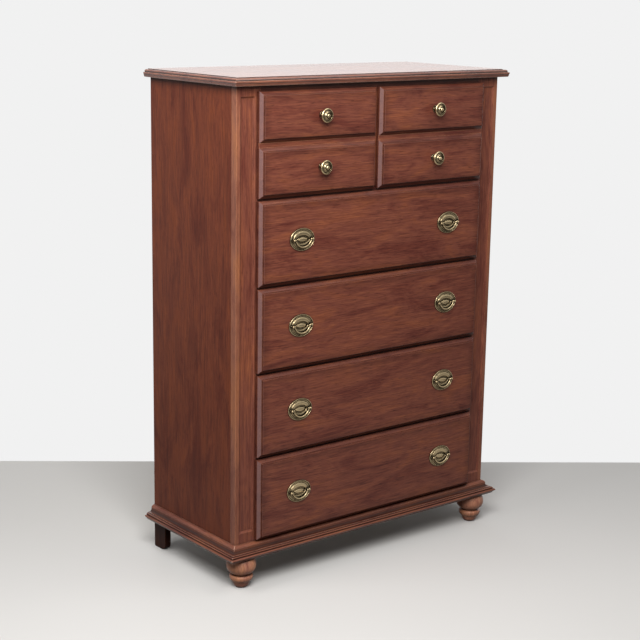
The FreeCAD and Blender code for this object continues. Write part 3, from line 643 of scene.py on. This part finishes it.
def antique_brass(name):
    """Cast brass with a brown-green patina: bright where hands rub it, dark and duller in hollows.

    The shade, from hollow to rim, is how open the air within 9 mm is, with a fifth of it left to a
    cloudy noise. It drives the colour and the roughness. Specks from casting lift the surface, and are
    drawn at 1.2 mm, coarser than real ones, to show.
    """
    material, tree = new_material(name)
    place = add(tree, "ShaderNodeTexCoord").outputs["Object"]
    cloud = add(tree, "ShaderNodeTexNoise", {"Scale": 1 / (9 * mm), "Detail": 3.0}, {"Vector": place})
    speck = add(tree, "ShaderNodeTexNoise", {"Scale": 1 / (1.2 * mm), "Detail": 1.0}, {"Vector": place})
    open_air = add(tree, "ShaderNodeAmbientOcclusion", {"samples": 6, "Distance": 9 * mm})
    bare = add(tree, "ShaderNodeMapRange",
               {"From Min": 0.6, "From Max": 0.96, "To Min": 0.0, "To Max": 1.0},
               {"Value": open_air.outputs["AO"]})
    shade = add(tree, "ShaderNodeMix", {"data_type": "FLOAT", "Factor": 0.2},
                {"A": bare.outputs["Result"], "B": cloud.outputs["Fac"]})
    colour = add(tree, "ShaderNodeValToRGB",
                 {"stops": [(0.2, "100b05"), (0.5, "3a2f20"), (0.72, "76674d"), (0.88, "b3a07d")]},
                 {"Fac": shade.outputs["Result"]})
    dull = add(tree, "ShaderNodeMapRange", {"To Min": 0.5, "To Max": 0.26},
               {"Value": shade.outputs["Result"]})
    relief = add(tree, "ShaderNodeBump", {"Strength": 0.15, "Distance": 0.1 * mm},
                 {"Height": speck.outputs["Fac"]})
    surface = add(tree, "ShaderNodeBsdfPrincipled", {"Metallic": 1.0},
                  {"Base Color": colour.outputs["Color"], "Roughness": dull.outputs["Result"],
                   "Normal": relief.outputs["Normal"]})
    add(tree, "ShaderNodeOutputMaterial", {}, {"Surface": surface.outputs["BSDF"]})
    return material


brass = antique_brass("antique_brass")
knob_height = 30 * mm
knob = eased(np.concatenate([
    [(axis_gap, 0, 0), (10 * mm, 0, 0.2 * mm), (10 * mm, 2 * mm, 0.5 * mm)],
    [(6.4 * mm, 2.4 * mm, 0.3 * mm)],
    bowed((6 * mm, 3 * mm), (6 * mm, 12 * mm), 0.5 * mm, 6),
    bowed((6.6 * mm, 13 * mm), (18.4 * mm, 18 * mm), -1.2 * mm, 6),
    bowed((19 * mm, 19 * mm), (16.6 * mm, 24 * mm), -1.3 * mm, 7),
    bowed((16 * mm, 23.9 * mm), (14.4 * mm, 21.6 * mm), 0.3 * mm, 4),
    bowed((14 * mm, 21.6 * mm), (7.4 * mm, 25.6 * mm), 0.7 * mm, 7),
    bowed((6.9 * mm, 25.2 * mm), (6.2 * mm, 24.2 * mm), 0.1 * mm, 3),
    bowed((5.7 * mm, 24.4 * mm), (axis_gap, knob_height), -1.6 * mm, 8),
]), support=0.15 * mm)
stood_knob = facing_front(turned(knob, around=64))
for drawer in deep_drawers:
    low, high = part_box(f"{drawer}_knobs")
    radius = (high.x - low.x) / 2
    places = [np.array((low.x + radius, high.y, z)) for z in (low.z + radius, high.z - radius)]
    make_piece(f"{drawer}_knobs_turned", [skin(stood_knob + place) for place in places], brass, drawer,
               "antique_brass", f"{drawer}_knobs")

# Oval pulls: a stamped brass plate with a rolled rim, a reeded ground, a broad ring and an almond
# boss, two posts bolted through it, and a cast bail that swings on pins in the posts' eyes.

plate_width, plate_height = 81 * mm, 61 * mm
post_spacing, post_standoff, post_height = 62 * mm, 8.2 * mm, 11.9 * mm
bail_drop, bow_half, bow_rod, bow_swell = 20 * mm, 25.7 * mm, 1.6 * mm, 0.4 * mm
hub_start, hub_end, hub_radius, hub_round = 23 * mm, 28.6 * mm, 2.6 * mm, 0.25


def stamped_plate(around=288, reeds=56):
    """An oval plate looking out of the chest, from rows of (share of the half width, share of the half
    height, height, point, reeding), with the height and the reeding in millimetres.

    x = a s cos t and z = b s sin t |sin t|^p, where the point p draws the inner rings out to almonds.
    The reeding adds r (1 + cos(n t)) / 2 to the height.
    """
    rows = np.array([
        (1.0, 1.0, 0.0, 0.0, 0.0), (1.0, 1.0, 1.2, 0.0, 0.0), (0.99, 0.99, 2.2, 0.0, 0.0),
        (0.975, 0.975, 2.85, 0.0, 0.0), (0.955, 0.95, 3.0, 0.0, 0.0), (0.94, 0.93, 2.6, 0.0, 0.0),
        (0.925, 0.915, 1.8, 0.0, 0.0), (0.915, 0.9, 1.2, 0.0, 0.0), (0.9, 0.885, 1.0, 0.0, 0.15),
        (0.87, 0.86, 1.0, 0.0, 0.5), (0.84, 0.83, 1.0, 0.0, 0.5), (0.81, 0.8, 1.05, 0.02, 0.4),
        (0.775, 0.77, 1.1, 0.02, 0.1), (0.76, 0.755, 1.5, 0.03, 0.0), (0.745, 0.74, 2.4, 0.04, 0.0),
        (0.725, 0.71, 3.2, 0.05, 0.0), (0.695, 0.65, 3.8, 0.08, 0.0), (0.66, 0.57, 4.0, 0.12, 0.0),
        (0.625, 0.48, 3.9, 0.18, 0.0), (0.595, 0.42, 3.5, 0.24, 0.0), (0.575, 0.38, 2.8, 0.3, 0.0),
        (0.56, 0.355, 1.7, 0.34, 0.0), (0.545, 0.34, 1.0, 0.36, 0.0), (0.5, 0.29, 0.9, 0.4, 0.0),
        (0.45, 0.235, 1.0, 0.44, 0.0), (0.43, 0.215, 1.8, 0.46, 0.0), (0.405, 0.195, 2.8, 0.48, 0.0),
        (0.35, 0.165, 3.7, 0.5, 0.0), (0.26, 0.12, 4.2, 0.5, 0.0), (0.14, 0.065, 4.5, 0.5, 0.0),
        (0.02, 0.01, 4.6, 0.5, 0.0),
    ])
    across, up, height, point, reeding = rows.T[:, :, None]
    turn = np.linspace(0, 2 * np.pi, around, endpoint=False)
    u = plate_width / 2 * across * np.cos(turn)
    v = plate_height / 2 * up * np.sin(turn) * np.abs(np.sin(turn)) ** point
    w = height * mm + reeding * mm * (1 + np.cos(reeds * turn)) / 2
    return facing_front(np.stack([u, v, w], -1))


def carried(path, radius, around=20):
    """A round rod along a path in the XZ plane: the path plus r * (cos a * side + sin a * outwards)."""
    heading = np.gradient(path, axis=0)
    heading /= np.linalg.norm(heading, axis=1)[:, None]
    outwards = np.array([0.0, -1.0, 0.0])
    side = np.cross(heading, outwards)
    angle = np.linspace(0, 2 * np.pi, around, endpoint=False)[None, :, None]
    rim = np.cos(angle) * side[:, None] + np.sin(angle) * outwards
    return path[:, None] + np.asarray(radius)[:, None, None] * rim


def cast_bail(x, y, z, steps=61, hub_steps=9):
    """A hanging bail, from the middle of the line through its pins: a bow and a hub round each pin.

    The bow is an arc of radius (w * w + d * d) / (2 d) for its half width w and its drop d, on a rod
    that swells as cos squared to its middle. A hub is a rod whose radius goes as the sine, from
    hub_round to pi - hub_round, so that it is nearly closed at its ends.
    """
    bow_radius = (bow_half ** 2 + bail_drop ** 2) / (2 * bail_drop)
    half_turn = math.asin(bow_half / bow_radius)
    swing = np.linspace(-half_turn, half_turn, steps)
    rise = bow_radius - bail_drop
    bow_x, bow_z = x + bow_radius * np.sin(swing), z + rise - bow_radius * np.cos(swing)
    bow = np.stack([bow_x, np.full(steps, y), bow_z], -1)
    skins = [skin(carried(bow, bow_rod + bow_swell * np.cos(swing / half_turn * np.pi / 2) ** 2))]
    bulge = hub_radius * np.sin(np.linspace(hub_round, np.pi - hub_round, hub_steps))
    for start, end in ((-hub_end, -hub_start), (hub_start, hub_end)):
        hub_x = np.linspace(x + start, x + end, hub_steps)
        hub = np.stack([hub_x, np.full(hub_steps, y), np.full(hub_steps, z)], -1)
        skins.append(skin(carried(hub, bulge)))
    return skins


post = eased(np.concatenate([
    [(axis_gap, 0, 0), (3.8 * mm, 0, 0.2 * mm), (3.8 * mm, 2.8 * mm, 0.4 * mm)],
    [(2.6 * mm, 3.3 * mm, 0.2 * mm), (2.4 * mm, 4.9 * mm, 0)],
    bowed((2.5 * mm, 5.2 * mm), (3.4 * mm, post_standoff), -0.4 * mm, 5),
    bowed((3.4 * mm, post_standoff + 0.4 * mm), (0.4 * mm, post_height), -1.1 * mm, 8),
]), support=0.12 * mm)
plate, stood_post = stamped_plate(), facing_front(turned(post, around=32))
for drawer in wide_drawers:
    low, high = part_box(f"{drawer}_pull_plates")
    middle_z = (low.z + high.z) / 2
    skins = []
    for side, x in (("left", low.x + plate_width / 2), ("right", high.x - plate_width / 2)):
        skins.append(skin(plate + np.array((x, high.y, middle_z))))
        for post_x in (x - post_spacing / 2, x + post_spacing / 2):
            skins.append(skin(stood_post + np.array((post_x, high.y, middle_z))))
        make_piece(f"{drawer}_bail_{side}_cast", cast_bail(x, high.y - post_standoff, middle_z), brass,
                   f"{drawer}_bail_{side}", "antique_brass", f"{drawer}_bail_{side}")
    make_piece(f"{drawer}_pulls_stamped", skins, brass, drawer, "antique_brass", f"{drawer}_pull_plates")

# Studio: a plain pale floor and backdrop, a strong soft lamp at the front left with five weaker ones to
# fill in, and the camera where the photograph's was.


def seen_directly(tree):
    """1 where a ray comes from the camera, or off glass or metal, which show the backdrop, and else 0."""
    ray = add(tree, "ShaderNodeLightPath")
    clear = add(tree, "ShaderNodeMath", {"operation": "MAXIMUM"},
                {0: ray.outputs["Is Camera Ray"], 1: ray.outputs["Is Transmission Ray"]})
    return add(tree, "ShaderNodeMath", {"operation": "MAXIMUM"},
               {0: clear.outputs["Value"], 1: ray.outputs["Is Glossy Ray"]}).outputs["Value"]


# The floor ends at a line behind the chest, where the photograph's floor meets its backdrop, and runs
# far to both sides and towards the camera. It looks pale and bounces little light.
far_left, far_right = np.array([-0.474, 1.186]), np.array([1.301, -0.112])
floor_aside, floor_deep = 30, 60
along = (far_right - far_left) / np.linalg.norm(far_right - far_left)
towards = np.array([along[1], -along[0]])
start, end = far_left - floor_aside * along, far_right + floor_aside * along
corners = [start, end, end + floor_deep * towards, start + floor_deep * towards]
floor_mesh = bpy.data.meshes.new("floor")
floor_mesh.from_pydata([(*corner, 0) for corner in corners], [], [(3, 2, 1, 0)])
floor = bpy.data.objects.new("floor", floor_mesh)
bpy.context.scene.collection.objects.link(floor)
floor_paint, tree = new_material("pale_floor")
tone = add(tree, "ShaderNodeMix", {"data_type": "RGBA", "A": linear("2f2c2a"), "B": linear("cfcdca")},
           {"Factor": seen_directly(tree)})
surface = add(tree, "ShaderNodeBsdfPrincipled", {"Roughness": 0.8, "Specular IOR Level": 0.2},
              {"Base Color": tone.outputs["Result"]})
add(tree, "ShaderNodeOutputMaterial", {}, {"Surface": surface.outputs["BSDF"]})
floor_mesh.materials.append(floor_paint)

# The backdrop looks nearly white and lights the chest faintly.
world = bpy.data.worlds.new("studio")
bpy.context.scene.world = world
world.use_nodes = True
tree = world.node_tree
tree.nodes.clear()
strength = add(tree, "ShaderNodeMapRange", {"To Min": 0.1, "To Max": 0.88}, {"Value": seen_directly(tree)})
backdrop = add(tree, "ShaderNodeBackground", {"Color": linear("ffffff")},
               {"Strength": strength.outputs["Result"]})
add(tree, "ShaderNodeOutputWorld", {}, {"Surface": backdrop.outputs["Background"]})


def soft_lamp(name, place, target, width, height, power):
    """A white rectangular softbox at a place, turned to face its target, with its power in watts."""
    lamp = bpy.data.lights.new(name, "AREA")
    lamp.shape, lamp.size, lamp.size_y, lamp.energy = "RECTANGLE", width, height, power
    stand = bpy.data.objects.new(name, lamp)
    away = Vector(place) - Vector(target)
    stand.location = place
    stand.rotation_euler = away.to_track_quat("Z", "Y").to_euler()
    bpy.context.scene.collection.objects.link(stand)


chest_middle, chest_top = (0, 0, 0.7), (0, 0, 1.3)
soft_lamp("window_softbox", (-1.35, -1.6, 2.35), chest_middle, 1.5, 1.3, 84)
soft_lamp("overhead_softbox", (0.7, -1.3, 3.3), chest_middle, 1.6, 1.4, 20)
soft_lamp("left_softbox", (-1.9, 0.2, 2.6), chest_middle, 1.2, 1.4, 27)
soft_lamp("back_softbox", (3.2, 4.2, 2.4), chest_top, 3.6, 1.4, 15)
soft_lamp("rear_fill", (0.9, 3.4, 0.85), chest_middle, 1.8, 0.8, 22)
soft_lamp("right_fill", (3.2, 0.2, 0.85), chest_middle, 1.4, 0.8, 9)

# The camera's place, turn in degrees and lens were fitted to the photograph's straight edges.
camera_place, camera_turn, camera_lens = (-2.6146, -3.2107, 1.6051), (77.079, -0.928, -38.524), 82.686
camera_data = bpy.data.cameras.new("camera")
camera_data.sensor_width = 36
camera_data.lens = camera_lens
camera = bpy.data.objects.new("camera", camera_data)
camera.location = camera_place
camera.rotation_euler = [math.radians(degrees) for degrees in camera_turn]
bpy.context.scene.collection.objects.link(camera)
bpy.context.scene.camera = camera
bpy.context.scene.view_settings.view_transform = "Standard"
